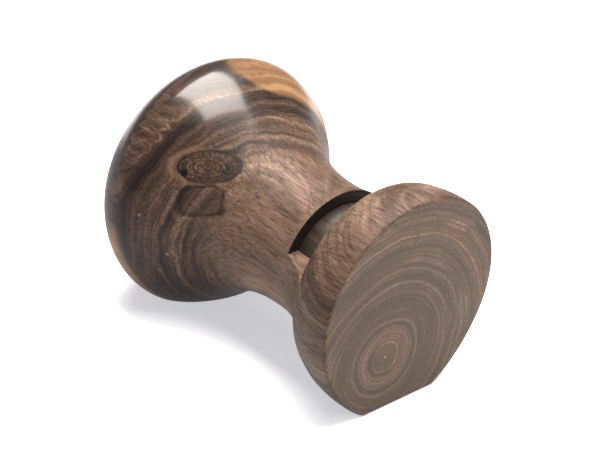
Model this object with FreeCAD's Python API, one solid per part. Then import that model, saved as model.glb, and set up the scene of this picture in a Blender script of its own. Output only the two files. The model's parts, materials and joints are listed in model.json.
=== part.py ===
import FreeCAD, Part

import math
import os

# Turned walnut nutcracker with a screw press inside. Millimetres.
# X runs along the turning axis, towards the head's end face. Z is up. The
# origin is on the surface that the two flats rest on, below the middle.
# A station is a distance back from the head's end face, along the axis.

# ---- driving dimensions -------------------------------------------------
total_length = 142.0        # end face of the head to the top of the knob
axis_height = 41.8          # turning axis above the resting flats
head_radius = 42.0
foot_half_width = 17.5      # half of the head's resting flat, across
foot_start_angle = -8.0     # degrees above the horizontal, just inside the round head
foot_start_inset = 0.4
foot_middle_angle = -43.0   # half way down the foot's sides
foot_middle_ratio = 1.0225  # how far these stand out of the round head there
head_bevel = 1.2            # soft edge round the end face
bevel_bulge = 0.3           # share of the bevel at which its round edge passes
body_back = 126.0           # station of the body's flat back face

# Outer profile of head, neck and flare: (station, radius)
head_side = [(6.0, 42.1), (12.0, 41.4), (17.0, 40.2), (20.5, 38.2), (23.0, 35.8)]
neck = [(26.5, 32.8), (32.0, 29.7), (40.0, 27.1), (50.5, 26.4), (61.0, 27.2)]
flare = [(72.0, 30.2), (82.0, 36.2), (92.0, 44.6), (100.0, 49.5), (107.5, 51.0)]
back_edge = [(113.5, 49.8), (119.0, 46.9), (123.2, 43.2), (126.0, 38.9)]

# Turned limit of the foot, which rounds its back edge into the neck: (station, radius)
foot_turning = [(1.2, 46.4), (7.0, 46.4), (12.5, 45.6), (17.0, 43.4), (20.5, 39.4), (22.8, 34.5)]

# Chamber, window and plunger
anvil_station = 17.0        # blind end of the bore, which the nut is pressed against
bore_radius = 22.4
plunger_radius = 22.0
anvil_gap = 0.3             # left between plunger and anvil when closed
plunger_length = 58.0
plunger_edge = 0.8
window_front = 21.0         # station of the window's wall under the head
window_back = 39.3          # station of the window's wall in the neck
window_floor = 9.7          # height of the window's level floor above the axis

# Screw press
screw_lead = 8.0            # two-start trapezoidal thread, 4 mm pitch
screw_turns = 3.0
travel = screw_lead * screw_turns
thread_radius = 8.0
thread_clearance = 0.05
loose_clearance = 0.4
collar_radius = 11.0
collar_thickness = 4.0
collar_pocket_radius = 11.4
washer_thickness = 2.0
washer_hole_radius = 3.0
swivel_play = 0.15
retainer_radius = 18.0
retainer_thickness = 3.0
retainer_screw_circle = 14.6
retainer_screw_count = 4
first_screw_angle = 45.0    # both rings of screws start here, above the horizontal
screw_tip_radius = 0.2
retainer_screw_radius = 1.5
retainer_screw_length = 12.0

# End plate and bush at the back of the bore
plate_flange_radius = 33.0
plate_flange_thickness = 5.0
plate_length = 20.0
plate_fit = 0.1
bush_radius = 12.0
bush_flange_radius = 16.0
bush_flange_thickness = 3.0
plate_screw_circle = 28.0
plate_screw_count = 4
plate_screw_radius = 1.9
plate_screw_length = 16.0

# Guide key in the floor of the bore
key_width = 4.0
key_in_body = 2.5
key_in_plunger = 2.2
key_front = 70.0
key_side_play = 0.3
keyway_spare = 1.0          # keyway left in front of the key when the plunger is back

# Knob
knob_front = 127.5
knob_waist_radius = 17.0
cove_middle_station = 129.1 # the cove from waist to edge passes here
cove_middle_radius = 22.6
cove_end_station = 131.5
cove_end_radius = 26.2
knob_radius = 27.0
knob_widest = 133.0
dome_station = 134.8        # the dome starts here, inside the rounded edge
dome_radius = 25.4
knob_socket_end = 137.6
knob_pin_radius = 1.5
knob_pin_station = 132.6
knob_pin_half_length = 25.4

# Cutting tools
overshoot = 1.0             # how far a cutter runs out past a face
reach = 100.0               # more than the body's half width

# ---- derived ------------------------------------------------------------
front_x = total_length / 2
plunger_front = anvil_station + anvil_gap
plunger_back = plunger_front + plunger_length
retainer_front = plunger_back - retainer_thickness
collar_back = retainer_front - swivel_play
collar_front = collar_back - collar_thickness
washer_front = collar_front - swivel_play - washer_thickness
plate_front = body_back - plate_length
plate_step = body_back - plate_flange_thickness
key_top = plunger_radius - key_in_plunger   # radius, below the axis
AXIS_POINT = FreeCAD.Vector(0, 0, axis_height)
ALONG_X = FreeCAD.Vector(1, 0, 0)


# ---- helpers ------------------------------------------------------------
def at(station, radius, angle=90.0):
    """Point at a station, radius and angle round the axis (90 is straight up)."""
    turn = math.radians(angle)
    y = radius * math.cos(turn)
    z = axis_height + radius * math.sin(turn)
    return FreeCAD.Vector(front_x - station, y, z)


def turned(edges):
    """Solid of revolution from profile edges drawn in the vertical plane of the axis."""
    face = Part.Face(Part.Wire(edges))
    solid = face.revolve(AXIS_POINT, ALONG_X, 360)
    if solid.Volume < 0:
        solid.reverse()
    return solid


def straight(points):
    """Line edges through (station, radius) points, closed back to the first."""
    loop = points + points[:1]
    return [Part.makeLine(at(*a), at(*b)) for a, b in zip(loop, loop[1:])]


def disc(start, end, radius):
    """Cylinder on the axis between two stations."""
    return rod(at(end, 0), radius, end - start)


def rod(base, radius, length, direction=ALONG_X):
    return Part.makeCylinder(radius, length, base, direction)


def ring_places(radius, count, first_angle):
    """Angles round the axis for a circle of screws."""
    return [(radius, first_angle + 360.0 * i / count) for i in range(count)]


def wood_screw(head_station, place, shank_radius, length):
    """Countersunk screw along the axis, its head flush with the station, tip forwards."""
    circle, angle = place
    top_radius = 2.0 * shank_radius
    head_depth = shank_radius
    tip_length = 2.0 * shank_radius
    shank_length = length - head_depth - tip_length
    top = at(head_station, circle, angle)
    shank_base = top + ALONG_X * head_depth
    tip_base = shank_base + ALONG_X * shank_length
    head = Part.makeCone(top_radius, shank_radius, head_depth, top, ALONG_X)
    shank = rod(shank_base, shank_radius, shank_length)
    tip = Part.makeCone(shank_radius, screw_tip_radius, tip_length, tip_base, ALONG_X)
    return head.fuse([shank, tip]).removeSplitter()


def screw_group(head_station, circle, count, shank_radius, length):
    places = ring_places(circle, count, first_screw_angle)
    return [wood_screw(head_station, place, shank_radius, length) for place in places]


def one_solid(shape):
    """The single solid that a boolean result holds."""
    solids = shape.removeSplitter().Solids
    if len(solids) != 1:
        raise ValueError("expected one solid, got %d" % len(solids))
    return solids[0]


# ---- body: head, neck and flare in one piece ------------------------------
def turned_outside(profile):
    """Turned form with a smooth side through (station, radius) points and a bevelled end face."""
    first_station, first_radius = profile[0]
    last_station, last_radius = profile[-1]
    side = Part.BSplineCurve()
    side.interpolate([at(*point) for point in profile])
    bevel_start = at(0, first_radius - first_station)
    inset = first_station * bevel_bulge
    bevel_middle = at(inset, first_radius - inset)
    bevel = Part.Arc(bevel_start, bevel_middle, at(first_station, first_radius))
    edges = [
        Part.makeLine(at(0, 0), bevel_start),
        bevel.toShape(),
        side.toShape(),
        Part.makeLine(at(last_station, last_radius), at(last_station, 0)),
        Part.makeLine(at(last_station, 0), at(0, 0)),
    ]
    return turned(edges)


def foot_outline(station, radius, scale=1.0):
    """End-on outline of the foot: arcs from inside a circle to the corners of the flat."""
    hub = at(station, 0)
    start = at(station, radius - foot_start_inset, foot_start_angle)
    middle = at(station, radius * foot_middle_ratio, foot_middle_angle)
    corner = FreeCAD.Vector(front_x - station, foot_half_width, 0)
    right = [hub + (point - hub) * scale for point in (start, middle, corner)]
    left = [FreeCAD.Vector(point.x, -point.y, point.z) for point in reversed(right)]
    edges = [
        Part.Arc(*right).toShape(),
        Part.makeLine(right[-1], left[0]),
        Part.Arc(*left).toShape(),
        Part.makeLine(left[-1], right[0]),
    ]
    return Part.Wire(edges)


def head_foot():
    """What squares the underside of the head down to its resting flat."""
    sections = [foot_outline(s, r) for s, r in [(head_bevel, head_radius)] + head_side]
    inset = foot_outline(0, head_radius, 1 - head_bevel / head_radius)
    bevelled = Part.makeLoft([inset, sections[0]], True, True)
    block = Part.makeLoft(sections, True, False)
    return block.fuse(bevelled).common(turned_outside(foot_turning))


def window_cutter():
    """Straight cut from above that opens the chamber."""
    corner = FreeCAD.Vector(front_x - window_back, -reach, axis_height + window_floor)
    return Part.makeBox(window_back - window_front, 2 * reach, reach, corner)


def key_block(width, low_radius, high_radius, start, end):
    """Box in the floor of the bore, between two radii below the axis."""
    corner = FreeCAD.Vector(front_x - end, -width / 2, axis_height - high_radius)
    return Part.makeBox(end - start, width, high_radius - low_radius, corner)


def make_body():
    profile = [(head_bevel, head_radius)] + head_side + neck + flare + back_edge
    blank = turned_outside(profile).fuse(head_foot())
    below = FreeCAD.Vector(-reach, -reach, -reach)
    blank = blank.cut(Part.makeBox(2 * reach, 2 * reach, reach, below))
    chamber = disc(anvil_station, body_back + overshoot, bore_radius)
    plate_seat = disc(plate_step, body_back + overshoot, plate_flange_radius)
    key_low = bore_radius - overshoot
    key_high = bore_radius + key_in_body
    key_seat = key_block(key_width, key_low, key_high, key_front, body_back)
    cutters = [chamber, plate_seat, window_cutter(), key_seat]
    return one_solid(blank.cut(cutters + plate_screws()))


# ---- plunger and its swivel ----------------------------------------------
def make_plunger():
    edge = plunger_edge
    core = turned(straight([
        (plunger_front, 0),
        (plunger_front, plunger_radius - edge),
        (plunger_front + edge, plunger_radius),
        (plunger_back - edge, plunger_radius),
        (plunger_back, plunger_radius - edge),
        (plunger_back, 0),
    ]))
    pocket = disc(washer_front, plunger_back, collar_pocket_radius)
    seat = disc(retainer_front, plunger_back, retainer_radius)
    return one_solid(core.cut([pocket, seat, keyway()] + retainer_screws()))


def keyway():
    """Slot along the underside of the plunger, which slides over the key."""
    width = key_width + 2 * key_side_play
    start = key_front - travel - keyway_spare
    return key_block(width, key_top - key_side_play, bore_radius, start, plunger_back)


def make_thrust_washer():
    washer_back = washer_front + washer_thickness
    washer = disc(washer_front, washer_back, collar_radius)
    return washer.cut(disc(washer_front, washer_back, washer_hole_radius))


def make_retainer():
    plate = disc(retainer_front, plunger_back, retainer_radius)
    hole = disc(retainer_front, plunger_back, thread_radius + loose_clearance)
    return one_solid(plate.cut([hole] + retainer_screws()))


def retainer_screws():
    return screw_group(plunger_back, retainer_screw_circle, retainer_screw_count,
                       retainer_screw_radius, retainer_screw_length)


# ---- end plate, bush and key ----------------------------------------------
def make_end_plate():
    flange = disc(plate_step, body_back, plate_flange_radius - plate_fit)
    spigot = disc(plate_front, plate_step, bore_radius - plate_fit)
    hole = disc(plate_front, body_back, bush_radius)
    bush_seat = disc(plate_front, plate_front + bush_flange_thickness, bush_flange_radius)
    notch = key_block(key_width, key_top, bore_radius, plate_front, plate_step)
    plate = flange.fuse(spigot)
    return one_solid(plate.cut([hole, bush_seat, notch] + plate_screws()))


def make_thread_bush():
    barrel = disc(plate_front, body_back, bush_radius)
    flange = disc(plate_front, plate_front + bush_flange_thickness, bush_flange_radius)
    hole = disc(plate_front, body_back, thread_radius + thread_clearance)
    return one_solid(barrel.fuse(flange).cut(hole))


def plate_screws():
    return screw_group(body_back, plate_screw_circle, plate_screw_count,
                       plate_screw_radius, plate_screw_length)


def make_guide_key():
    return key_block(key_width, key_top, bore_radius + key_in_body, key_front, plate_step)


# ---- spindle and knob -------------------------------------------------------
def make_spindle():
    collar = disc(collar_front, collar_back, collar_radius)
    shaft = disc(collar_front, knob_socket_end, thread_radius)
    return one_solid(collar.fuse(shaft).cut(knob_pin_solid()))


def make_knob():
    """Low mushroom: a waist, a rounded edge and a shallow dome."""
    dome_depth = total_length - dome_station
    sphere_radius = (dome_radius ** 2 + dome_depth ** 2) / (2 * dome_depth)
    half_way = math.asin(dome_radius / sphere_radius) / 2
    dome_middle_station = total_length - sphere_radius * (1 - math.cos(half_way))
    dome_middle = at(dome_middle_station, sphere_radius * math.sin(half_way))
    waist = at(knob_front, knob_waist_radius)
    cove_middle = at(cove_middle_station, cove_middle_radius)
    cove_end = at(cove_end_station, cove_end_radius)
    widest = at(knob_widest, knob_radius)
    dome_start = at(dome_station, dome_radius)
    top = at(total_length, 0)
    edges = [
        Part.makeLine(at(knob_front, 0), waist),
        Part.Arc(waist, cove_middle, cove_end).toShape(),
        Part.Arc(cove_end, widest, dome_start).toShape(),
        Part.Arc(dome_start, dome_middle, top).toShape(),
        Part.makeLine(top, at(knob_front, 0)),
    ]
    socket = disc(knob_front, knob_socket_end, thread_radius)
    return one_solid(turned(edges).cut([socket, knob_pin_solid()]))


def knob_pin_solid():
    """Cross pin through knob and spindle, flush with the knob's edge."""
    base = FreeCAD.Vector(front_x - knob_pin_station, -knob_pin_half_length, axis_height)
    return rod(base, knob_pin_radius, 2 * knob_pin_half_length, FreeCAD.Vector(0, 1, 0))


nodes = {
    "body": make_body(),
    "plunger": make_plunger(),
    "thrust_washer": make_thrust_washer(),
    "retaining_plate": make_retainer(),
    "retaining_screws": Part.makeCompound(retainer_screws()),
    "end_plate": make_end_plate(),
    "thread_bush": make_thread_bush(),
    "end_plate_screws": Part.makeCompound(plate_screws()),
    "guide_key": make_guide_key(),
    "spindle": make_spindle(),
    "knob": make_knob(),
    "knob_pin": knob_pin_solid(),
}

os.makedirs("parts", exist_ok=True)
for name, shape in nodes.items():
    if not shape.isValid():
        raise ValueError("invalid shape: " + name)
    shape.exportStep("parts/" + name + ".step")
    box = shape.BoundBox
    print("%-18s volume %9.1f mm3  x %7.2f..%7.2f  z %6.2f..%6.2f" % (
        name, shape.Volume, box.XMin, box.XMax, box.ZMin, box.ZMax))
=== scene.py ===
import json
import math

import bmesh
import bpy
from mathutils import Matrix, Vector


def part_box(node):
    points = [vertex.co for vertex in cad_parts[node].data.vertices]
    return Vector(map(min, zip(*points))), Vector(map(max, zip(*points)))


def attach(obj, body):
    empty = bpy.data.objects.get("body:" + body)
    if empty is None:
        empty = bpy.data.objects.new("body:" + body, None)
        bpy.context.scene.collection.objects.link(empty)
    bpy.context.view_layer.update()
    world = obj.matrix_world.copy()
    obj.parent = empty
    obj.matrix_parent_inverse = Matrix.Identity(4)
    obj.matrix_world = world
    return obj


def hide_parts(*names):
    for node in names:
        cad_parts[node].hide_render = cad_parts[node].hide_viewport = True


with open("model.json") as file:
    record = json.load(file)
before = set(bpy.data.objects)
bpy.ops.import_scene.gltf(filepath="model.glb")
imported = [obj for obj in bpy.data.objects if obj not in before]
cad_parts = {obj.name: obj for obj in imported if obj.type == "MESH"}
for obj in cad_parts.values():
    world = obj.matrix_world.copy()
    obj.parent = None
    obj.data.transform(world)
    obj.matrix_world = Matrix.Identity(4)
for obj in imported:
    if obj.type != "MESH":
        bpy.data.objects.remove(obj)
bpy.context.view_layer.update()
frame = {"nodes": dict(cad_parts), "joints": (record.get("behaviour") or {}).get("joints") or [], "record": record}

# A turned walnut nutcracker with a screw press inside. A station is a distance
# in mm back from the head's end face, along the axis. Radii are in mm too, and
# angles are in degrees above the horizontal, seen from the head's end.
MM = 0.001
FRONT_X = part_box("body")[1].x
BACK_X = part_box("knob")[0].x
AXIS_Z = [j for j in frame["joints"] if j["name"] == "knob_turn"][0]["pos_m"][2]
AXIS_HEIGHT = AXIS_Z / MM
TOTAL_LENGTH = (FRONT_X - BACK_X) / MM

# ---- the body's outside ----------------------------------------------------
HEAD_RADIUS = 42.0
HEAD_BEVEL = 1.2
HEAD_SIDE = [(6.0, 42.1), (12.0, 41.4), (17.0, 40.2), (20.5, 38.2), (23.0, 35.8)]
NECK = [(26.5, 32.8), (32.0, 29.7), (40.0, 27.1), (50.5, 26.4), (61.0, 27.2)]
FLARE = [(72.0, 30.2), (82.0, 36.2), (92.0, 44.6), (100.0, 49.5), (107.5, 51.0)]
BACK_EDGE = [(113.5, 49.8), (119.0, 46.9), (123.2, 43.2), (126.0, 38.9)]
OUTSIDE = [(HEAD_BEVEL, HEAD_RADIUS)] + HEAD_SIDE + NECK + FLARE + BACK_EDGE
BODY_BACK = OUTSIDE[-1][0]

# The foot squares the head's underside down to its flat, and is turned off behind
FOOT_HALF_WIDTH = 17.5
FOOT_START = (-8.0, 0.4)        # angle, and how far inside the round head it starts
FOOT_MIDDLE = (-43.0, 1.0225)   # angle, and its share of the head's radius
FOOT_TURNING = [(1.2, 46.4), (7.0, 46.4), (12.5, 45.6), (17.0, 43.4), (20.5, 39.4), (22.8, 34.5)]

# The chamber, and the window cut straight down into it
ANVIL = 17.0
BORE_RADIUS = 22.4
WINDOW_FRONT = 21.0
WINDOW_BACK = 39.3
WINDOW_FLOOR = 9.7              # above the axis
PLATE_RADIUS = 33.0
PLATE_STEP = (FRONT_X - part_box("end_plate")[0].x) / MM - 5.0
PLATE_FRONT = (FRONT_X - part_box("end_plate")[1].x) / MM
ARRIS = 0.3                     # rounding of sharp turned and cut edges

# Columns of the body's mesh below and above the window floor's height
LOW_COLUMNS = 180
HIGH_COLUMNS = 108

# Distance between its rings of vertices
WINDOW_STEP = 0.7
OUTSIDE_STEP = 0.9
EDGE_STEP = 0.6


# ---- geometry helpers --------------------------------------------------------
def place(station, radius, angle):
    """Point in the row frame, in metres, from mm and radians."""
    y = radius * math.cos(angle) * MM
    z = radius * math.sin(angle) * MM
    return Vector((FRONT_X - station * MM, y, AXIS_Z + z))


def curve_through(points):
    """Smooth radius as a function of station: a natural cubic spline, by chord length."""
    chord = [0.0]
    for (s0, r0), (s1, r1) in zip(points, points[1:]):
        chord.append(chord[-1] + math.hypot(s1 - s0, r1 - r0))
    bends = [spline_bends(chord, [p[axis] for p in points]) for axis in (0, 1)]
    samples = []
    for i in range(len(points) - 1):
        for step in range(40):
            t = chord[i] + (chord[i + 1] - chord[i]) * step / 40
            samples.append(tuple(
                spline_value(chord, [p[axis] for p in points], bends[axis], i, t)
                for axis in (0, 1)))
    samples.append(points[-1])

    def radius(station):
        station = min(max(station, samples[0][0]), samples[-1][0])
        for (s0, r0), (s1, r1) in zip(samples, samples[1:]):
            if station <= s1:
                return r0 + (r1 - r0) * (station - s0) / max(s1 - s0, 1e-9)
        return samples[-1][1]

    return radius


def spline_bends(t, v):
    """Second derivatives of a natural cubic spline."""
    n = len(t)
    upper, right = [0.0] * n, [0.0] * n
    for i in range(1, n - 1):
        before, after = t[i] - t[i - 1], t[i + 1] - t[i]
        slope_change = (v[i + 1] - v[i]) / after - (v[i] - v[i - 1]) / before
        pivot = 2 * (before + after) - before * upper[i - 1]
        upper[i] = after / pivot
        right[i] = (6 * slope_change - before * right[i - 1]) / pivot
    bends = [0.0] * n
    for i in range(n - 2, 0, -1):
        bends[i] = right[i] - upper[i] * bends[i + 1]
    return bends


def spline_value(t, v, bends, i, at):
    width = t[i + 1] - t[i]
    a = (t[i + 1] - at) / width
    b = 1 - a
    curve = ((a ** 3 - a) * bends[i] + (b ** 3 - b) * bends[i + 1]) * width ** 2 / 6
    return a * v[i] + b * v[i + 1] + curve


def smooth_max(a, b, soft):
    gap = max(soft - abs(a - b), 0.0) / soft
    return max(a, b) + gap * gap * soft / 4


def soften(points, size=ARRIS, closed=False):
    """Rounds the corners of a profile of (station, radius) points."""
    out = []
    for i, point in enumerate(points):
        end = not closed and i in (0, len(points) - 1)
        before = Vector(points[i - 1])
        after = Vector(points[(i + 1) % len(points)])
        here = Vector(point)
        if end or (here - before).angle(after - here) < 0.4:
            out.append(point)
            continue
        start = here + (before - here).normalized() * min(size, (before - here).length / 3)
        stop = here + (after - here).normalized() * min(size, (after - here).length / 3)
        for t in (0.0, 0.25, 0.5, 0.75, 1.0):
            mid = start.lerp(here, t).lerp(here.lerp(stop, t), t)
            out.append((mid.x, mid.y))
    return out


def finish_mesh(name, bm, sharp=0.7):
    """Object from a bmesh: faces outwards, smooth, with edges over the sharp angle left hard."""
    bmesh.ops.remove_doubles(bm, verts=bm.verts, dist=0.001 * MM)
    bmesh.ops.recalc_face_normals(bm, faces=bm.faces)
    for face in bm.faces:
        face.smooth = True
    for edge in bm.edges:
        edge.smooth = len(edge.link_faces) != 2 or edge.calc_face_angle() < sharp
    mesh = bpy.data.meshes.new(name)
    bm.to_mesh(mesh)
    bm.free()
    piece = bpy.data.objects.new(name, mesh)
    bpy.context.scene.collection.objects.link(piece)
    return piece


def bridge(bm, first, second, columns=None):
    """Quads between two rings of vertices of the same length."""
    count = len(first)
    for i in columns or range(count):
        j = (i + 1) % count
        bm.faces.new((first[i], first[j], second[j], second[i]))


def lathe(bm, profile, columns=144, closed=False):
    """Turns a profile of (station, radius) points round the axis. Radius 0 ends it on the axis."""
    rings = []
    for station, radius in profile:
        if radius < 1e-6:
            rings.append([bm.verts.new(place(station, 0, 0))])
            continue
        angles = [2 * math.pi * i / columns for i in range(columns)]
        rings.append([bm.verts.new(place(station, radius, a)) for a in angles])
    pairs = list(zip(rings, rings[1:]))
    if closed:
        pairs.append((rings[-1], rings[0]))
    for first, second in pairs:
        if len(first) == 1 and len(second) == 1:
            continue
        if len(first) == 1 or len(second) == 1:
            centre, ring = (first, second) if len(first) == 1 else (second, first)
            for i in range(columns):
                bm.faces.new((centre[0], ring[i], ring[(i + 1) % columns]))
        else:
            bridge(bm, first, second)


def turned_piece(name, profile, columns=144, closed=False):
    bm = bmesh.new()
    lathe(bm, profile, columns, closed)
    return finish_mesh(name, bm)


def boolean_cut(piece, cutter):
    """Cuts one object's shape out of another and removes the cutter."""
    modifier = piece.modifiers.new("cut", "BOOLEAN")
    modifier.object = cutter
    modifier.solver = "EXACT"
    depsgraph = bpy.context.evaluated_depsgraph_get()
    mesh = bpy.data.meshes.new_from_object(piece.evaluated_get(depsgraph))
    piece.modifiers.clear()
    old = piece.data
    piece.data = mesh
    mesh.name = piece.name
    bpy.data.meshes.remove(old)
    bpy.data.objects.remove(cutter)
    bm = bmesh.new()
    bm.from_mesh(mesh)
    for edge in bm.edges:
        edge.smooth = len(edge.link_faces) != 2 or edge.calc_face_angle() < 0.6
    bm.to_mesh(mesh)
    bm.free()


def box_piece(name, low, high):
    """Box between two corners, as a cutting tool."""
    bm = bmesh.new()
    bmesh.ops.create_cube(bm, size=1.0)
    size = Vector(high) - Vector(low)
    for v in bm.verts:
        v.co = Vector([low[k] + (v.co[k] + 0.5) * size[k] for k in range(3)])
    return finish_mesh(name, bm)


# ---- body --------------------------------------------------------------------
outside_radius = curve_through(OUTSIDE)
foot_turning = curve_through(FOOT_TURNING)


def circle_through(a, b, c):
    """Centre and radius of the circle through three points."""
    ab, ac = b - a, c - a
    cross = 2 * (ab.x * ac.y - ab.y * ac.x)
    x = (ac.y * ab.length_squared - ab.y * ac.length_squared) / cross
    y = (ab.x * ac.length_squared - ac.x * ab.length_squared) / cross
    return a + Vector((x, y)), math.hypot(x, y)


def foot_circle(radius):
    start_angle, inset = FOOT_START
    middle_angle, ratio = FOOT_MIDDLE
    polar = []
    for degrees, length in ((start_angle, radius - inset), (middle_angle, radius * ratio)):
        turn = math.radians(degrees)
        polar.append(Vector((math.cos(turn), math.sin(turn))) * length)
    return circle_through(polar[0], polar[1], Vector((FOOT_HALF_WIDTH, -AXIS_HEIGHT)))


def section_radius(station, angle):
    """Radius of the body's outside at a station and angle, before the flats are cut."""
    radius = outside_radius(station)
    if station > FOOT_TURNING[-1][0] or math.sin(angle) > -0.02:
        return radius
    centre, size = foot_circle(radius)
    ray = Vector((abs(math.cos(angle)), math.sin(angle)))
    along = ray.dot(centre)
    reach = along + math.sqrt(max(along ** 2 - centre.length_squared + size ** 2, 0))
    return smooth_max(radius, min(reach, foot_turning(station)), 0.5)


def split_angles(radius):
    """Angles round a ring from the window floor's height on one side, down, round and back."""
    floor = math.asin(min(WINDOW_FLOOR / radius, 0.5)) if radius else 0.4
    low_sweep = math.pi + 2 * floor
    high_sweep = math.pi - 2 * floor
    low = [floor - low_sweep * i / LOW_COLUMNS for i in range(LOW_COLUMNS)]
    high = [math.pi - floor - high_sweep * i / HIGH_COLUMNS for i in range(HIGH_COLUMNS)]
    return low + high


def flattened(point, inset):
    """Point pressed up on to the resting plane, with a slightly soft edge."""
    soft = 0.13 * MM
    height = (point.z - inset * MM) / soft
    if height < 30:
        point.z = inset * MM + soft * math.log1p(math.exp(height))
    return point


def outside_ring(station, inset=0.0, scale=1.0):
    """Ring of points on the body's outside. Inset draws it in, as at the head's bevel."""
    at = max(station, HEAD_BEVEL)
    ring = []
    for angle in split_angles(outside_radius(at)):
        radius = section_radius(at, angle) - inset
        point = flattened(place(station, radius, angle), inset)
        hub = place(station, 0, 0)
        ring.append(hub + (point - hub) * scale)
    return ring


def plain_ring(station, radius):
    return [place(station, radius, angle) for angle in split_angles(radius)]


def spread(start, stop, step):
    """Evenly spaced stations, about a step apart, without the last."""
    count = max(1, round((stop - start) / step))
    return [start + (stop - start) * i / count for i in range(count)]


def make_body():
    """Head, neck and flare: one closed surface, round the outside and back through the bore."""
    bm = bmesh.new()
    bevel_steps = [math.pi / 2 * i / 6 for i in range(6)]
    bevel = [(HEAD_BEVEL * (1 - math.cos(a)), HEAD_BEVEL * (1 - math.sin(a))) for a in bevel_steps]
    rings = [outside_ring(0, HEAD_BEVEL, scale) for scale in (0.3, 0.65, 0.9)]
    rings += [outside_ring(station, inset) for station, inset in bevel]
    window = spread(WINDOW_FRONT, WINDOW_BACK, WINDOW_STEP) + [WINDOW_BACK]
    front = spread(HEAD_BEVEL, WINDOW_FRONT, OUTSIDE_STEP)
    edge_start = BODY_BACK - 8
    back = spread(WINDOW_BACK, edge_start, OUTSIDE_STEP)[1:]
    back += spread(edge_start, BODY_BACK, EDGE_STEP)
    rings += [outside_ring(station) for station in front]
    first_open = len(rings)
    rings += [outside_ring(station) for station in window]
    last_open = len(rings) - 1
    rings += [outside_ring(station) for station in back]
    edge_radius = OUTSIDE[-1][1]
    last_station = BODY_BACK - EDGE_STEP
    inner = soften([(last_station, outside_radius(last_station)), (BODY_BACK, edge_radius),
                    (BODY_BACK, PLATE_RADIUS), (PLATE_STEP, PLATE_RADIUS),
                    (PLATE_STEP, BORE_RADIUS), (100, BORE_RADIUS)])[1:]
    inner += [(80, BORE_RADIUS), (60, BORE_RADIUS), (48, BORE_RADIUS)]
    rings += [plain_ring(*point) for point in inner]
    first_bore = len(rings)
    rings += [plain_ring(station, BORE_RADIUS) for station in reversed(window)]
    last_bore = len(rings) - 1
    rings += [plain_ring(ANVIL, BORE_RADIUS), plain_ring(ANVIL, BORE_RADIUS / 2)]
    verts = [[bm.verts.new(point) for point in ring] for ring in rings]
    low = range(LOW_COLUMNS)
    for i, (first, second) in enumerate(zip(verts, verts[1:])):
        opened = first_open <= i < last_open or first_bore <= i < last_bore
        bridge(bm, first, second, low if opened else None)
    for ring, station in ((verts[0], 0), (verts[-1], ANVIL)):
        centre = bm.verts.new(place(station, 0, 0))
        for i in range(len(ring)):
            bm.faces.new((centre, ring[i], ring[(i + 1) % len(ring)]))
    outer = verts[first_open:last_open + 1]
    bore = verts[last_bore:first_bore - 1:-1]
    for column in (0, LOW_COLUMNS):
        for i in range(len(outer) - 1):
            bm.faces.new((outer[i][column], outer[i + 1][column],
                          bore[i + 1][column], bore[i][column]))
    high = range(LOW_COLUMNS, LOW_COLUMNS + HIGH_COLUMNS)
    bridge(bm, outer[0], bore[0], high)
    bridge(bm, outer[-1], bore[-1], high)
    bmesh.ops.recalc_face_normals(bm, faces=bm.faces)
    weight = bm.edges.layers.float.new("bevel_weight_edge")
    for edge in bm.edges:
        station = (FRONT_X - edge.verts[0].co.x) / MM
        near_window = WINDOW_FRONT - 0.1 < station < WINDOW_BACK + 0.1
        if near_window and edge.calc_face_angle_signed() > 0.6:
            edge[weight] = 1.0
    body = finish_mesh("walnut_body", bm)
    rounding = body.modifiers.new("arris", "BEVEL")
    rounding.limit_method = "WEIGHT"
    rounding.width = ARRIS * MM
    rounding.segments = 3
    normals = body.modifiers.new("normals", "WEIGHTED_NORMAL")
    normals.keep_sharp = True
    return body


# ---- plunger -------------------------------------------------------------------
PLUNGER_RADIUS = 22.0
PLUNGER_EDGE = 0.8
COLLAR_POCKET = 11.4
RETAINER_SEAT = 18.0
KEY_PLAY = 0.3


def make_plunger():
    """Round core with eased edges, and its keyway underneath."""
    low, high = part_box("plunger")
    start = (FRONT_X - high.x) / MM
    stop = (FRONT_X - low.x) / MM
    radius = PLUNGER_RADIUS
    edge = PLUNGER_EDGE
    pocket = COLLAR_POCKET
    washer_start = (FRONT_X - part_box("thrust_washer")[1].x) / MM
    seat = RETAINER_SEAT
    seat_start = (FRONT_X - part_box("retaining_plate")[1].x) / MM
    face = [(start, 0), (start, radius / 2), (start, radius - edge), (start + edge, radius)]
    side = [(s, radius) for s in spread(start + 2, stop - 2, 2.0)]
    back = [(stop - edge, radius), (stop, radius - edge), (stop, seat), (seat_start, seat),
            (seat_start, pocket), (washer_start, pocket), (washer_start, 0)]
    core = turned_piece("plunger_core", soften(face + side + back))
    key_low, key_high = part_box("guide_key")
    play = KEY_PLAY * MM
    travel = frame["joints"][0]["range_m"][1]
    boolean_cut(core, box_piece(
        "keyway",
        (low.x - MM, key_low.y - play, low.z - 4 * MM),
        (key_high.x + travel + MM, key_high.y + play, key_high.z + play)))
    return core


# ---- end plate, bush and screws --------------------------------------------------
PLATE_FIT = 0.1
PLATE_MIDDLE = 24.0             # an extra edge on the plate's back, inside the screws
BUSH_RADIUS = 12.0
BUSH_HOLE = 8.05
BUSH_CHAMFER = 0.8
BUSH_FLANGE = (16.0, 3.0)
SCREW_CIRCLE = 28.0
SCREW_RADIUS = 1.9
SCREW_LENGTH = 16.0
SCREW_SUNK = 0.05
SCREW_FLAT = 3.2                # radius of the head's flat top
SCREW_ANGLES = [math.radians(45 + 90 * i) for i in range(4)]


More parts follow.
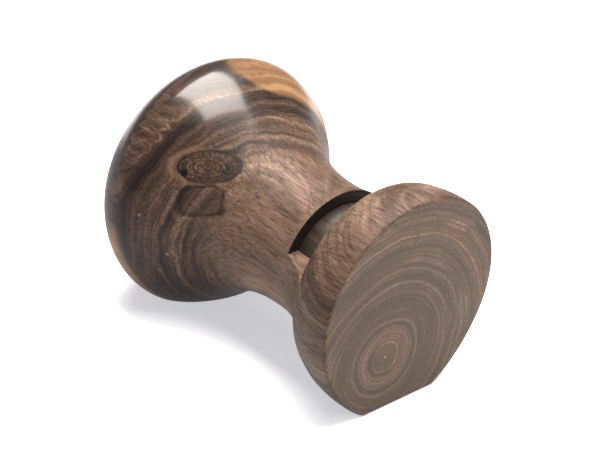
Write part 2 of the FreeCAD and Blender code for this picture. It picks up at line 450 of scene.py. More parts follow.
def screw_profile(extra=0.0):
    """Countersunk wood screw pointing forwards from the plate's back, as (station, radius)."""
    head = BODY_BACK + extra
    shank = BODY_BACK - SCREW_RADIUS
    tip = BODY_BACK - SCREW_LENGTH
    return [(head, 0), (head, 2 * SCREW_RADIUS + extra), (BODY_BACK, 2 * SCREW_RADIUS),
            (shank, SCREW_RADIUS), (tip + 2 * SCREW_RADIUS, SCREW_RADIUS), (tip, 0)]


def screws_at(name, profile, columns=40):
    """One mesh with a turned screw at each of the four places."""
    bm = bmesh.new()
    for angle in SCREW_ANGLES:
        single = bmesh.new()
        lathe(single, profile, columns)
        shift = place(0, SCREW_CIRCLE, angle) - place(0, 0, 0)
        bmesh.ops.translate(single, verts=single.verts, vec=shift)
        holder = bpy.data.meshes.new("single")
        single.to_mesh(holder)
        single.free()
        bm.from_mesh(holder)
        bpy.data.meshes.remove(holder)
    return finish_mesh(name, bm)


def make_screws():
    """Four plate screws with cross recesses."""
    top = BODY_BACK - SCREW_SUNK
    profile = [(top, 0), (top, SCREW_FLAT), (top - 0.2, 3.65)] + screw_profile()[3:]
    screws = screws_at("plate_screws", profile)
    for k, angle in enumerate(SCREW_ANGLES):
        turn = angle + 0.5 + 1.1 * k
        for half in (0, math.pi / 2):
            boolean_cut(screws, cross_slot(place(top, SCREW_CIRCLE, angle), turn + half))
    return screws


def cross_slot(centre, turn):
    """One tapered blade of a cross recess, sunk forwards from a screw's top."""
    bm = bmesh.new()
    across = Vector((0, math.cos(turn), math.sin(turn)))
    side = Vector((0, -math.sin(turn), math.cos(turn)))
    corners = []
    for level, reach, half in ((-1.0, 2.3, 0.5), (1.5, 0.9, 0.3)):
        middle = centre + Vector((level * MM, 0, 0))
        for a, b in ((1, 1), (1, -1), (-1, -1), (-1, 1)):
            corners.append(bm.verts.new(middle + (across * a * reach + side * b * half) * MM))
    for quad in ((0, 1, 2, 3), (7, 6, 5, 4), (0, 4, 5, 1), (1, 5, 6, 2), (2, 6, 7, 3), (3, 7, 4, 0)):
        bm.faces.new([corners[i] for i in quad])
    return finish_mesh("recess", bm)


def make_end_plate():
    """Plug with a flange, bored for the bush and drilled for the screws."""
    flange, thick = BUSH_FLANGE
    profile = [(PLATE_FRONT, flange), (PLATE_FRONT, BORE_RADIUS - PLATE_FIT),
               (PLATE_STEP, BORE_RADIUS - PLATE_FIT), (PLATE_STEP, PLATE_RADIUS - PLATE_FIT),
               (BODY_BACK, PLATE_RADIUS - PLATE_FIT), (BODY_BACK, PLATE_MIDDLE), (BODY_BACK, BUSH_RADIUS),
               (PLATE_FRONT + thick, BUSH_RADIUS), (PLATE_FRONT + thick, flange)]
    plate = turned_piece("walnut_end_plate", soften(profile, closed=True), closed=True)
    boolean_cut(plate, screws_at("drill", screw_profile(0.5)))
    key_low, key_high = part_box("guide_key")
    boolean_cut(plate, box_piece(
        "notch", (key_low.x - MM, key_low.y, key_low.z - MM),
        (FRONT_X - (PLATE_FRONT - 1) * MM, key_high.y, key_high.z)))
    return plate


def make_bush():
    """Flanged brass nut. Its thread is hidden round the spindle's."""
    flange, thick = BUSH_FLANGE
    hole = BUSH_HOLE
    profile = [(PLATE_FRONT, hole), (PLATE_FRONT, flange), (PLATE_FRONT + thick, flange),
               (PLATE_FRONT + thick, BUSH_RADIUS), (BODY_BACK, BUSH_RADIUS),
               (BODY_BACK, hole + BUSH_CHAMFER), (BODY_BACK - BUSH_CHAMFER, hole)]
    return turned_piece("brass_bush", soften(profile, 0.25, closed=True), closed=True)


# ---- spindle -----------------------------------------------------------------------
THREAD_RADIUS = 8.0
THREAD_DEPTH = 1.7
THREAD_LEAD = 8.0
THREAD_OVERRUN = 1.2            # thread showing behind the bush when closed
COLLAR_RADIUS = 11.0
COLLAR_THICKNESS = 4.0
COLLAR_RELIEF = 5.0
SPINDLE_COLUMNS = 96


def thread_radius(station, angle, start, stop):
    """Two-start trapezoidal thread, running out at both ends."""
    phase = (station / THREAD_LEAD * 2 + angle / math.pi) % 1.0
    height = min(max(abs(phase - 0.5) * 7.0 - 1.2, 0.0), 1.0)
    fade = min((station - start) / 2, (stop - station) / 2, 1.0)
    return THREAD_RADIUS - THREAD_DEPTH * (1 - height) * max(fade, 0.0)


def make_spindle():
    """Steel screw with a collar inside the plunger and a plain end inside the knob."""
    low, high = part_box("spindle")
    start = (FRONT_X - high.x) / MM
    stop = (FRONT_X - low.x) / MM
    neck = start + COLLAR_THICKNESS
    thread_start = neck + COLLAR_RELIEF
    thread_stop = BODY_BACK + THREAD_OVERRUN
    profile = [(start, 0), (start, COLLAR_RADIUS), (neck, COLLAR_RADIUS), (neck, THREAD_RADIUS)]
    columns = SPINDLE_COLUMNS
    bm = bmesh.new()
    rows = []
    for station, radius in soften(profile, 0.4):
        if radius > 0:
            rows.append([(station, radius)] * columns)
    for station in spread(thread_start, thread_stop, 0.25):
        row = []
        for i in range(columns):
            angle = 2 * math.pi * i / columns
            row.append((station, thread_radius(station, angle, thread_start, thread_stop)))
        rows.append(row)
    for station, radius in soften([(thread_stop, THREAD_RADIUS), (stop, THREAD_RADIUS), (stop, 0)]):
        if radius > 0:
            rows.append([(station, radius)] * columns)
    rings = []
    for row in rows:
        ring = []
        for i, (station, radius) in enumerate(row):
            ring.append(bm.verts.new(place(station, radius, 2 * math.pi * i / columns)))
        rings.append(ring)
    for first, second in zip(rings, rings[1:]):
        bridge(bm, first, second)
    for ring, station in ((rings[0], start), (rings[-1], stop)):
        centre = bm.verts.new(place(station, 0, 0))
        for i in range(columns):
            bm.faces.new((centre, ring[i], ring[(i + 1) % columns]))
    return finish_mesh("steel_spindle", bm, sharp=0.9)


# ---- knob ----------------------------------------------------------------------------
KNOB_FRONT = 127.5
KNOB_WAIST = 17.0
KNOB_SOCKET = 137.6
COVE = (129.1, 22.6)
COVE_END = (131.5, 26.2)
KNOB_WIDEST = (133.0, 27.0)
DOME_START = (134.8, 25.4)
PIN_RADIUS = 1.5
PIN_STATION = 132.6
PIN_HALF = 25.4


def arc_points(a, b, c, steps):
    """Points on the arc from a through b to c."""
    centre, radius = circle_through(Vector(a), Vector(b), Vector(c))
    turns = [math.atan2(p[1] - centre.y, p[0] - centre.x) for p in (a, b, c)]
    sweep = (turns[2] - turns[0]) % (2 * math.pi)
    if (turns[1] - turns[0]) % (2 * math.pi) > sweep:
        sweep -= 2 * math.pi
    points = []
    for i in range(steps + 1):
        turn = turns[0] + sweep * i / steps
        points.append((centre.x + radius * math.cos(turn), centre.y + radius * math.sin(turn)))
    return points


def make_knob():
    """Low mushroom: waist, rounded edge and shallow dome."""
    depth = TOTAL_LENGTH - DOME_START[0]
    sphere = (DOME_START[1] ** 2 + depth ** 2) / (2 * depth)
    dome = []
    for i in range(25):
        radius = DOME_START[1] * (1 - i / 24)
        dome.append((TOTAL_LENGTH - sphere + math.sqrt(sphere ** 2 - radius ** 2), radius))
    foot = soften([(KNOB_SOCKET, 0), (KNOB_SOCKET, THREAD_RADIUS), (KNOB_FRONT, THREAD_RADIUS),
                   (KNOB_FRONT, KNOB_WAIST), COVE])[:-1]
    cove = arc_points((KNOB_FRONT, KNOB_WAIST), COVE, COVE_END, 10)[1:]
    edge = arc_points(COVE_END, KNOB_WIDEST, DOME_START, 12)[1:]
    knob = turned_piece("walnut_knob", foot + cove + edge + dome[1:], 192)
    boolean_cut(knob, pin_piece("pin_hole", 30.0, 0.0))
    return knob


def pin_piece(name, half, chamfer):
    """Rod across the knob, along Y."""
    bm = bmesh.new()
    profile = [(-half, 0), (-half, PIN_RADIUS - chamfer), (-half + chamfer, PIN_RADIUS),
               (half - chamfer, PIN_RADIUS), (half, PIN_RADIUS - chamfer), (half, 0)]
    if not chamfer:
        profile = [(-half, 0), (-half, PIN_RADIUS), (half, PIN_RADIUS), (half, 0)]
    lathe(bm, profile, 48)
    middle = place(PIN_STATION, 0, 0)
    quarter_turn = Matrix.Rotation(math.pi / 2, 4, "Z")
    for v in bm.verts:
        v.co = middle + quarter_turn @ (v.co - place(0, 0, 0))
    return finish_mesh(name, bm)


# ---- materials: node builder -------------------------------------------------
def colour(red, green, blue):
    """Linear colour from 8-bit display values."""
    linear = []
    for value in (red, green, blue):
        share = value / 255
        linear.append(share / 12.92 if share <= 0.04045 else ((share + 0.055) / 1.055) ** 2.4)
    return (*linear, 1.0)


class Value:
    """An output in a material. Python's operators on it make Math nodes."""

    def __init__(self, nodes, socket):
        self.nodes = nodes
        self.socket = socket

    def __add__(self, other):
        return self.nodes.math("ADD", self, other)

    def __sub__(self, other):
        return self.nodes.math("SUBTRACT", self, other)

    def __mul__(self, other):
        return self.nodes.math("MULTIPLY", self, other)

    __radd__ = __add__
    __rmul__ = __mul__

    def __rsub__(self, other):
        return self.nodes.math("SUBTRACT", other, self)


class Nodes:
    """One material's nodes."""

    def __init__(self, name):
        self.material = bpy.data.materials.new(name)
        self.material.use_nodes = True
        self.tree = self.material.node_tree
        self.shader = self.tree.nodes["Principled BSDF"]

    def feed(self, socket, value):
        """Links a Value to a socket, or sets the socket to a plain value."""
        if isinstance(value, Value):
            self.tree.links.new(value.socket, socket)
        else:
            socket.default_value = value

    def add(self, kind, inputs, output=0, **settings):
        node = self.tree.nodes.new(kind)
        for key, value in settings.items():
            setattr(node, key, value)
        for key, value in inputs.items():
            self.feed(node.inputs[key], value)
        return Value(self, node.outputs[output])

    def split(self, vector):
        """The three parts of a vector output."""
        node = self.tree.nodes.new("ShaderNodeSeparateXYZ")
        self.tree.links.new(vector.socket, node.inputs[0])
        return [Value(self, output) for output in node.outputs]

    def math(self, operation, *values):
        return self.add("ShaderNodeMath", dict(enumerate(values)), operation=operation)

    def length(self, *parts):
        """Length of a vector, from its parts."""
        total = parts[0] * parts[0]
        for part in parts[1:]:
            total = total + part * part
        return self.math("SQRT", total)

    def step(self, value, low, high):
        """0 below low, 1 above high, smooth between. Low may be the higher one."""
        inputs = {"Value": value, "From Min": low, "From Max": high}
        return self.add("ShaderNodeMapRange", inputs, interpolation_type="SMOOTHSTEP")

    def noise(self, parts, detail=2.0, rough=0.5):
        """Noise about 0, mostly within half each way, with features about 1 apart."""
        vector = self.add("ShaderNodeCombineXYZ", dict(enumerate(parts)))
        inputs = {"Vector": vector, "Scale": 1.0, "Detail": detail, "Roughness": rough}
        return self.add("ShaderNodeTexNoise", inputs) - 0.5

    def grain(self, point, along, across, detail=2.0, rough=0.5):
        """Noise with so many features to the mm along the turning axis and across it."""
        x, y, z = point
        return self.noise((x * along, y * across, z * across), detail, rough)

    def ramp(self, value, stops):
        result = self.add("ShaderNodeValToRGB", {0: value})
        elements = result.socket.node.color_ramp.elements
        while len(elements) < len(stops):
            elements.new(1.0)
        for element, (position, shade) in zip(elements, stops):
            element.position = position
            element.color = shade
        return result

    def mix(self, share, a, b):
        return self.add("ShaderNodeMix", {0: share, 6: a, 7: b}, output=2, data_type="RGBA")

    def position(self):
        """x, y and z in mm, from the turning axis below the middle of the object."""
        x, y, z = self.split(self.add("ShaderNodeTexCoord", {}, output="Object"))
        return x * (1 / MM), y * (1 / MM), z * (1 / MM) - AXIS_HEIGHT

    def facing_along(self):
        """How far the surface faces along the turning axis, 0 to 1."""
        normal = self.split(self.add("ShaderNodeNewGeometry", {}, output="Normal"))
        return self.math("ABSOLUTE", normal[0])

    def distance(self, point, place_in_wood):
        return self.length(*[value - middle for value, middle in zip(point, place_in_wood)])

    def finish(self, base, rough, height, bump=0.3, depth=0.0002, **values):
        """Wires the shader. Height is the bump's, from 0 to 1 over the depth in metres."""
        self.feed(self.shader.inputs["Base Color"], base)
        self.feed(self.shader.inputs["Roughness"], rough)
        relief = self.add("ShaderNodeBump", {"Height": height, "Strength": bump, "Distance": depth})
        self.feed(self.shader.inputs["Normal"], relief)
        for key, value in values.items():
            self.feed(self.shader.inputs[SOCKETS[key]], value)
        return self.material


SOCKETS = {
    "metallic": "Metallic",
    "specular": "Specular IOR Level",
    "coat": "Coat Weight",
    "coat_rough": "Coat Roughness",
}

# ---- materials: walnut -------------------------------------------------------
# Places in the wood are (x, y, z) in mm, from the turning axis below the middle
# of the object. A range such as (2.0, -16.0) runs from where something starts
# to where it is in full.
HEARTWOOD = [
    (0.0, colour(21, 14, 12)),
    (0.28, colour(42, 30, 25)),
    (0.5, colour(66, 49, 39)),
    (0.68, colour(92, 72, 59)),
    (0.85, colour(119, 96, 80)),
    (1.0, colour(151, 126, 107)),
]
PLUNGER_WOOD = [(0.0, colour(22, 17, 15)), (0.5, colour(47, 39, 34)), (1.0, colour(78, 67, 58))]
KNOT_WOOD = [
    (0.0, colour(13, 8, 7)),
    (0.45, colour(38, 27, 22)),
    (0.8, colour(78, 58, 46)),
    (1.0, colour(112, 86, 70)),
]
PORE_BROWN = colour(20, 13, 11)
FIBRE_BROWN = colour(30, 21, 18)
TURNING_BROWN = colour(60, 48, 42)
END_GRAIN_GREY = colour(80, 71, 60)
# painted shade for the wall deep in the window
SLOT_SHADE_BROWN = colour(26, 19, 17)
PITH_BROWN = colour(34, 27, 22)
PITH_SPECK = colour(150, 140, 124)
STREAK_PURPLE = colour(38, 25, 25)
HAIRLINE_BROWN = colour(38, 24, 20)
STRIPE_BROWN = colour(40, 27, 24)
KNOT_RIM = colour(16, 10, 9)
KNOT_HALO = colour(120, 90, 70)
# painted shade inside the knot's pit
PIT_SHADE_BLACK = colour(5, 4, 3)
PATCH_FACE = colour(44, 31, 26)
PATCH_EDGE = colour(20, 13, 11)
PATCH_BORDER = colour(118, 91, 75)
PALE_FLECK = colour(140, 110, 92)
PALE_CRUMB = colour(142, 110, 90)
DARK_FLECK = colour(28, 19, 16)
PIN_KNOT = colour(140, 114, 98)
SAP_DARK = colour(92, 66, 45)
SAP_LIGHT = colour(130, 98, 70)

# How much each layer of the figure counts in the wood's tone
MEAN_TONE = 0.55
BROAD_SHARE = 0.6
BAND_SHARE = 1.1
LINE_SHARE = 0.8
FIBRE_SHARE = 0.62
LIGHT_LINE_SHARE = 0.22
DARK_LINE_SHARE = 0.12

# The pith, the middle of the rings: its y and z at the object's middle, and their slopes
PITH_START = (-5.2, -6.9)
PITH_SLOPES = (-0.0723, -0.1624)

# The knot, an oval, with its own axes on the surface. Its places are mm along and across.
KNOT_CENTRE = (-12.5, -27.9, 25.6)
KNOT_ALONG = (0.644, 0.756, 0.104)
KNOT_ACROSS = (-0.42, 0.29, 0.86)
KNOT_MIDDLE = 1.0
KNOT_LONG = 1.42                # its stretch along, where a circle has 1
KNOT_SHORT = 0.72               # the rim's squeeze across
KNOT_RING_SHORT = 0.68          # the rings' squeeze across
KNOT_GRIP = 2.75                # how fast the trunk's rings close round it
PIT_PLACE = (-8.3, -2.1)
PATCH_PLACE = (-2.4, -12.4)
PATCH_HALF = (8.0, 5.0)

FLECK_PLACE = (-2.0, -11.0, 28.5)
FLECK_REACH = (12.0, 4.0)
CRUMB_PLACE = (-2.2, -23.0, 20.5)
CRUMB_REACH = (7.0, 2.5)
PIN_KNOT_PLACES = [(-25.8, -47.6, 5.2), (-17.2, -40.2, -9.8)]
ZIGZAG_PLACE = (-38.0, -36.0, 36.0)
ZIGZAG_REACH = (16.0, 5.0)
BARE_PLACE = (17.0, -26.0, 2.0)  # plain wood on the side of the neck
BARE_REACH = (32.0, 16.0)

# Sapwood starts this far from the pith. It is held further out in two places and
# towards the head, and comes nearer underneath.
SAP_EDGE = (47.6, 48.9)
SAP_HELD_PLACE = (-38.0, -22.0, 44.0)
SAP_HELD_REACH = (40.0, 16.0)

FLARE_ZONE = (2.0, -16.0)
HEAD_ZONE = (36.0, 50.0)
END_FACING = (0.8, 0.98)
POLISHED_X = (-8.0, -22.0)
POLISHED_Z = (20.0, 34.0)
POLISH_COAT = 0.52
POLISH_ROUGHNESS = 0.14


def walnut_grain(n, rings, point, stops, lift=0.0, figured=1.0, lined=0.3):
    """Walnut's colour and pores from a ring field in mm. Returns colour, pore depth and tone.

    Lift brightens the tone, figured scales the rings' contrast and lined their light lines.
    """
    x = point[0]
    slow = n.grain(point, 0.014, 0.035)
    broad = n.noise((rings * 0.10, x * 0.006, slow * 1.5), 1.0)
    bands = n.noise((rings * 0.36, x * 0.01, slow * 2.5 + 5.0), 2.0, 0.65)
    lines = n.noise((rings * 1.5, x * 0.012, slow * 3.0 + 9.0), 3.0, 0.8)
    fibre = n.grain(point, 0.07, 0.9, 4.0, 0.7)
    thin = n.noise((rings * 0.62, x * 0.01, slow + 3.0), 0.0)
    light_lines = n.step(thin, 0.1, 0.26) * LIGHT_LINE_SHARE
    dark_lines = n.step(thin, -0.12, -0.24) * DARK_LINE_SHARE
    figure = (bands * BAND_SHARE + lines * LINE_SHARE + light_lines * lined - dark_lines) * figured
    tone = lift + MEAN_TONE + broad * BROAD_SHARE + figure + fibre * FIBRE_SHARE
    shade = n.ramp(tone, stops)
    pores = n.grain(point, 0.10, 1.4, 2.0, 0.6)
    pore = n.step(pores + bands * 0.15, 0.05, 0.17)
    shade = n.mix(pore * 0.62, shade, PORE_BROWN)
    fine = n.grain(point, 0.25, 2.4, 2.0, 0.6)
    shade = n.mix(n.step(fine, 0.0, 0.2) * 0.36, shade, FIBRE_BROWN)
    return shade, pore, tone, slow


def body_walnut():
    """The body's wood: rings about a slanting pith, a knot, and sapwood at the rim."""
    n = Nodes("body_walnut")
    point = n.position()
    x, y, z = point
    wander = n.grain(point, 0.02, 0.035)
    ripple = n.grain(point, 0.06, 0.14, 3.0)
    rough = n.grain(point, 0.12, 0.12, 3.0)
    end_grain = n.step(n.facing_along(), *END_FACING)
    side = 1.0 - end_grain
    flare = n.step(x, *FLARE_ZONE)

    # rings about the pith, drawn aside round the knot
    pith = n.length(y - PITH_START[0] - x * PITH_SLOPES[0], z - PITH_START[1] - x * PITH_SLOPES[1])
    wavy = n.step(z, 24.0, 4.0) * n.step(x, 42.0, 20.0) * 1.6 + 0.5
    trunk = pith + (wander * 5.0 + ripple * wavy) * n.step(pith, 0.0, 16.0)
    u, v = knot_place(point)
    oval = knot_oval(n, u, v, rough)
    wrapped = 16.0 + oval * KNOT_GRIP + ripple * 1.6
    rings = n.math("SMOOTH_MIN", trunk, wrapped, 9.0) + zigzag(n, point)

    # darker outwards on the flare, with painted shade towards the flare's underside, plainer on the neck
    bare = n.step(n.distance(point, BARE_PLACE), *BARE_REACH) * side
    figured = 1.0 + flare * 0.45 - bare * 0.8 - n.step(x, -6.0, 8.0) * 0.3 * side
    outer = n.step(rings, 17.0, 30.0) * flare
    # painted shade: the flare's underside is darkened
    underside_shade = n.step(z, 0.0, -34.0) * flare
    head_side = n.step(x, *HEAD_ZONE) * side
    lift = 0.06 - outer * 0.19 - underside_shade * 0.27 - head_side * 0.04 + bare * 0.1 - end_grain * 0.04
    grain = walnut_grain(n, rings, point, HEARTWOOD, lift, figured, end_grain)
    shade, pore, tone, slow = grain
    shade = dark_streaks(n, point, rings, shade)

    # end grain is greyer, and the window's wall gets painted shade, as dark as the deep slot it stands in
    shade = n.mix(end_grain * 0.8, shade, n.mix(0.5, shade, END_GRAIN_GREY))
    window_wall_shade = end_grain * n.step(x, 54.0, 52.0) * n.step(x, 0.0, 10.0)
    shade = n.mix(window_wall_shade * 0.85, shade, SLOT_SHADE_BROWN)
    shade = n.mix(n.step(pith + ripple * 0.8, 1.1, 0.5) * 0.8, shade, PITH_BROWN)
    shade = n.mix(n.step(pith + ripple * 1.2, 0.55, 0.25), shade, PITH_SPECK)

    shade = knot_halo(n, u, oval, shade)
    shade = knot_patch(n, point, u, v, rough, shade)
    shade = pale_flecks(n, point, shade)
    shade = knot_face(n, point, u, v, oval, rough, slow, shade)
    # the knot's pit: a dent in the bump, filled with painted shade
    pit = n.length(u - PIT_PLACE[0], v - PIT_PLACE[1])
    pit_dent_and_shade = n.step(pit + ripple * 1.5, 1.9, 1.0)
    shade = n.mix(pit_dent_and_shade, shade, PIT_SHADE_BLACK)

    sap_shade = n.mix(n.step(tone, 0.1, 0.8), SAP_DARK, SAP_LIGHT)
    shade = n.mix(sapwood(n, point, pith + ripple * 1.0 + wander * 0.8), shade, sap_shade)

    # the top of the flare is polished by hand
    polish = n.step(x, *POLISHED_X) * n.step(z, *POLISHED_Z)
    pore_relief = pore * 0.5 * (1.0 - polish * 0.75)
    height = 0.5 - pore_relief - pit_dent_and_shade * 3.0 + tone * 0.1 * (1.0 - polish)
    matte = 0.5 - polish * 0.2 + pore * 0.12 + tone * 0.05
    return n.finish(shade, matte, height, 0.35, specular=0.16,
                    coat=polish * POLISH_COAT, coat_rough=POLISH_ROUGHNESS)


def dark_streaks(n, point, rings, shade):
    """Purplish streaks and hairlines along the neck, and stripes on the side of the head."""
    x, y, z = point
    slanted = (x * 0.03 + y * 0.02, y * 0.15 - x * 0.03, z * 0.15)
    streak = n.step(n.noise(slanted, 3.0, 0.6), 0.08, 0.24) * n.step(x, -15.0, 5.0)
    shade = n.mix(streak * 0.5, shade, STREAK_PURPLE)
    slanted = (x * 0.022, y * 0.075 + x * 0.02, z * 0.075 - x * 0.02)
    crossing = n.math("ABSOLUTE", n.noise(slanted, 1.0))
    on_neck = n.step(x, -8.0, 4.0) * n.step(x, 40.0, 34.0)
    shade = n.mix(n.step(crossing, 0.022, 0.0) * on_neck * 0.36, shade, HAIRLINE_BROWN)
    stripes = n.noise((rings * 0.2, x * 0.01, 0.0), 2.0, 0.6)
    stripe = n.step(stripes, 0.04, 0.2) * n.step(x, 36.0, 46.0)
    return n.mix(stripe * 0.55, shade, STRIPE_BROWN)


def zigzag(n, point):
    """Zigzag in the rings where a branch's grain meets the trunk's, high on the flare."""
    x, y, z = point
    near = n.step(n.distance(point, ZIGZAG_PLACE), *ZIGZAG_REACH)
    rough = n.grain(point, 0.1, 0.1)
    slope = (y * 0.5 + z * 0.4 - x * 0.25) * 0.6 + rough * 0.8
    return (n.math("PINGPONG", slope, 1.0) - 0.5) * near * 1.3


def knot_place(point):
    """Place along and across the knot, in mm."""
    offsets = [value - middle for value, middle in zip(point, KNOT_CENTRE)]
    places = []
    for axis in (KNOT_ALONG, KNOT_ACROSS):
        parts = [offset * share for offset, share in zip(offsets, axis)]
        places.append(parts[0] + parts[1] + parts[2])
    return places


def knot_oval(n, u, v, rough):
    """Distance from the knot's middle in the shape of its oval, about 8 at its edge."""
    along = (u - KNOT_MIDDLE) * (1 / KNOT_LONG)
    across = v * (1 / KNOT_SHORT) - n.math("MAXIMUM", u, 0.0) * 0.08
    return n.length(along, across) + rough * 3.0


def knot_halo(n, u, oval, shade):
    """Pale wood drawn round the knot's far end."""
    halo = n.step(oval, 12.0, 9.5) * n.step(oval, 8.0, 9.3) * n.step(u, 4.0, -6.0)
    return n.mix(halo * 0.35, shade, KNOT_HALO)


def knot_patch(n, point, u, v, rough, shade):
    """A squarish patch of torn grain below the knot, with dark and pale edges."""
    half_u = (u - PATCH_PLACE[0]) * (1 / PATCH_HALF[0])
    half_v = (v - PATCH_PLACE[1]) * (1 / PATCH_HALF[1])
    fourth_u = half_u * half_u * half_u * half_u
    fourth_v = half_v * half_v * half_v * half_v
    square = n.math("POWER", fourth_u + fourth_v, 0.25) + rough * 0.7
    torn = n.grain(point, 0.5, 0.5, 3.0, 0.7)
    shade = n.mix(n.step(square, 1.05, 0.7) * (0.35 + torn * 0.9), shade, PATCH_FACE)
    edge = n.step(square, 1.25, 1.03) * n.step(square, 0.8, 0.97) * (0.85 + torn * 1.2)
    shade = n.mix(edge * 0.85, shade, PATCH_EDGE)
    border = n.step(square, 1.6, 1.35) * n.step(square, 1.1, 1.35) * n.step(torn, -0.15, 0.25)
    return n.mix(border * 0.4, shade, PATCH_BORDER)


def pale_flecks(n, point, shade):
    """Pale flecks and crumbs beside the knot, and two pin knots."""
    flecks = n.grain(point, 0.4, 0.4, 4.0, 0.75)
    beside = n.step(n.distance(point, FLECK_PLACE), *FLECK_REACH)
    below = n.step(n.distance(point, CRUMB_PLACE), *CRUMB_REACH)
    shade = n.mix(n.step(flecks, 0.0, 0.2) * beside * 0.3, shade, PALE_FLECK)
    shade = n.mix(n.step(flecks, -0.06, 0.14) * below * 0.42, shade, PALE_CRUMB)
    shade = n.mix(n.step(flecks, -0.08, -0.2) * (beside + below) * 0.4, shade, DARK_FLECK)
    for pin_place in PIN_KNOT_PLACES:
        pin = n.step(n.distance(point, pin_place) + flecks * 1.5, 1.0, 0.2)
        shade = n.mix(pin * 0.5, shade, PIN_KNOT)
    return shade


def knot_face(n, point, u, v, oval, rough, slow, shade):
    """The branch's own rings, cut across, inside a dark rim."""
    off_centre = u + oval * 0.12 - 0.4
    centred = n.length(off_centre * (1 / KNOT_LONG), v * (1 / KNOT_RING_SHORT))
    speck = n.grain(point, 0.8, 0.8, 3.0, 0.6)
    rings = n.noise(((centred + rough * 2.0 + speck * 0.8) * 1.8, 0.0, slow))
    face = n.ramp(0.5 + rings * 1.9 + rough * 0.8 + speck * 1.2, KNOT_WOOD)
    shade = n.mix(n.step(oval, 8.4, 7.6), shade, face)
    rim = n.step(oval, 9.3, 8.4) * n.step(oval, 7.2, 8.2)
    return n.mix(rim * (0.45 + n.step(u, 0.0, 10.0) * 0.4), shade, KNOT_RIM)


def sapwood(n, point, from_pith):
    """1 in the pale sapwood, which the turning left at the rim of the flare."""
    x, y, z = point
    held_above = n.step(n.distance(point, SAP_HELD_PLACE), *SAP_HELD_REACH) * 5.0
    held_beside = n.step(y, -30.0, -46.0) * n.step(z, -8.0, 2.0) * 0.9
    headwards = n.math("MAXIMUM", x + 12.0, 0.0) * 0.2
    under = n.step(z, -6.0, -38.0) * 2.2
    return n.step(from_pith - held_above - held_beside - headwards + under, *SAP_EDGE)


# ---- materials: small parts --------------------------------------------------
def small_walnut(name, pith_place, stops, turning):
    """Wood of the plunger, plate or knob, with its pith at (y, z) and lines left by turning."""
    n = Nodes(name)
    point = n.position()
    x, y, z = point
    wander = n.grain(point, 0.02, 0.04)
    rings = n.length(y - pith_place[0], z - pith_place[1]) + wander * 4.0
    shade, pore = walnut_grain(n, rings, point, stops)[:2]
    lines = n.noise((x * 2.2, 0.0, 0.0), 2.0, 0.7)
    shade = n.mix(n.step(lines, 0.0, 0.3) * turning, shade, TURNING_BROWN)
    height = 0.5 - pore * 0.4 + lines * 0.8 * turning
    return n.finish(shade, 0.42, height, specular=0.22)


def turned_metal(name, shade, rough):
    """Machined metal with fine lines round the axis and a few smudges."""
    n = Nodes(name)
    point = n.position()
    x, y, z = point
    lines = n.noise((x * 9.0, n.length(y, z) * 9.0, 0.0), 2.0, 0.7)
    smudge = n.grain(point, 0.15, 0.15, 3.0)
    darker = tuple(value * 0.72 for value in shade[:3]) + (1.0,)
    base = n.mix(n.step(lines + smudge * 0.6, -0.3, 0.4), darker, shade)
    varied = rough + smudge * 0.12 + lines * 0.08
    return n.finish(base, varied, lines, 0.12, 0.00005, metallic=1.0)


materials = {
    "body_walnut": body_walnut(),
    "plunger_walnut": small_walnut("plunger_walnut", (9.0, -34.0), PLUNGER_WOOD, 0.5),
    "plate_walnut": small_walnut("plate_walnut", (-22.0, 30.0), HEARTWOOD, 0.2),
    "knob_walnut": small_walnut("knob_walnut", (14.0, -9.0), HEARTWOOD, 0.2),
    "brass": turned_metal("brass", colour(222, 184, 112), 0.3),
    "steel": turned_metal("steel", colour(190, 190, 192), 0.32),
    "screw_steel": turned_metal("screw_steel", colour(176, 178, 180), 0.36),
}


# ---- put together ------------------------------------------------------------------------
def add_piece(piece, body, slot, *nodes):
    """A piece that stands for CAD nodes, rides on their body and has their slot's material."""
    piece.data.materials.clear()
    piece.data.materials.append(materials[slot])
    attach(piece, body)
    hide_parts(*nodes)


add_piece(make_body(), "body", "body_walnut", "body")
add_piece(make_plunger(), "plunger", "plunger_walnut", "plunger")
add_piece(make_end_plate(), "body", "plate_walnut", "end_plate")
add_piece(make_bush(), "body", "brass", "thread_bush")
add_piece(make_screws(), "body", "screw_steel", "end_plate_screws")
add_piece(make_spindle(), "knob", "steel", "spindle")
add_piece(make_knob(), "knob", "knob_walnut", "knob")
add_piece(pin_piece("knob_cross_pin", PIN_HALF, 0.3), "knob", "screw_steel", "knob_pin")

node_slots = {part["node"]: part["material_slot"] for part in frame["record"]["subparts"]}
for name, node in frame["nodes"].items():
    node.data.materials.clear()
    node.data.materials.append(materials[node_slots[name]])

# ---- floor, light and camera ---------------------------------------------------------------
FLOOR_SIZE = 6.0
FLOOR_GLOW = 0.56               # like a light table, so that shadows stay pale
LAMPS = [                       # name, place, aim, width and height in metres, watts
    ("softbox_above", (-0.14, 0.17, 1.0), (-0.14, 0.17, 0.0), (1.25, 0.68), 50.0),
    ("softbox_right", (1.1, 0.45, 0.5), (0.04, 0.0, 0.05), (0.7, 0.7), 9.0),
]
LAMP_COLOUR = (1.0, 0.95, 0.9)
WORLD_STRENGTH = 0.22
FLOOR_COLOUR = (0.55, 0.55, 0.565, 1.0)
FLOOR_GLOW_COLOUR = (0.95, 0.96, 1.0, 1.0)
CAMERA_PLACE = (0.44655, -0.43140, 0.39791)
CAMERA_AZIMUTH = 45.277
CAMERA_ELEVATION = 29.901
CAMERA_ROLL = 5.695
CAMERA_LENS = 113.34


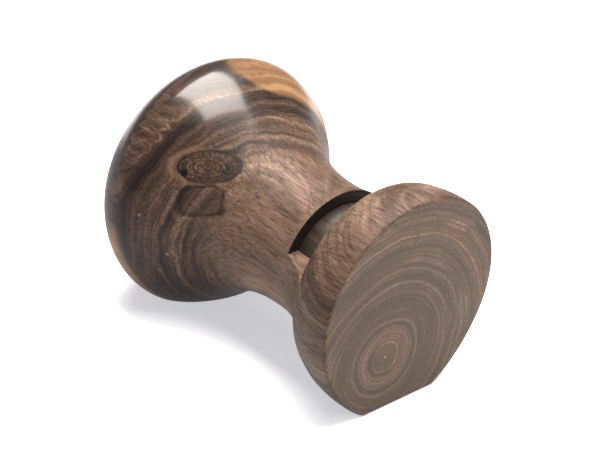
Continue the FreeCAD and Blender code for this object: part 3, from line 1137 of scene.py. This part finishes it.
def make_floor():
    bm = bmesh.new()
    bmesh.ops.create_grid(bm, x_segments=1, y_segments=1, size=FLOOR_SIZE / 2)
    floor = finish_mesh("floor", bm)
    n = Nodes("floor_white")
    n.feed(n.shader.inputs["Base Color"], FLOOR_COLOUR)
    n.feed(n.shader.inputs["Roughness"], 0.6)
    n.feed(n.shader.inputs["Specular IOR Level"], 0.1)
    n.feed(n.shader.inputs["Emission Color"], FLOOR_GLOW_COLOUR)
    n.feed(n.shader.inputs["Emission Strength"], FLOOR_GLOW)
    floor.data.materials.append(n.material)


def make_light():
    for name, spot, aim, size, watts in LAMPS:
        lamp = bpy.data.lights.new(name, "AREA")
        lamp.shape = "RECTANGLE"
        lamp.size, lamp.size_y = size
        lamp.energy = watts
        lamp.color = LAMP_COLOUR
        softbox = bpy.data.objects.new(name, lamp)
        softbox.location = spot
        towards = Vector(aim) - Vector(spot)
        softbox.rotation_euler = towards.to_track_quat("-Z", "Y").to_euler()
        bpy.context.scene.collection.objects.link(softbox)
    world = bpy.data.worlds.new("studio")
    world.use_nodes = True
    background = world.node_tree.nodes["Background"]
    background.inputs["Color"].default_value = (1.0, 1.0, 1.0, 1.0)
    background.inputs["Strength"].default_value = WORLD_STRENGTH
    bpy.context.scene.world = world


def make_camera():
    azimuth, elevation = math.radians(CAMERA_AZIMUTH), math.radians(CAMERA_ELEVATION)
    back = Vector((math.sin(azimuth) * math.cos(elevation),
                   -math.cos(azimuth) * math.cos(elevation), math.sin(elevation)))
    level = Vector((math.cos(azimuth), math.sin(azimuth), 0))
    up = back.cross(level)
    roll = math.radians(CAMERA_ROLL)
    right = level * math.cos(roll) + up * math.sin(roll)
    upright = up * math.cos(roll) - level * math.sin(roll)
    lens = bpy.data.cameras.new("camera")
    lens.sensor_width = 36.0
    lens.lens = CAMERA_LENS
    camera = bpy.data.objects.new("camera", lens)
    turn = Matrix((right, upright, back)).transposed().to_4x4()
    camera.matrix_world = Matrix.Translation(CAMERA_PLACE) @ turn
    bpy.context.scene.collection.objects.link(camera)
    bpy.context.scene.camera = camera


make_floor()
make_light()
make_camera()
bpy.context.scene.view_settings.view_transform = "Standard"
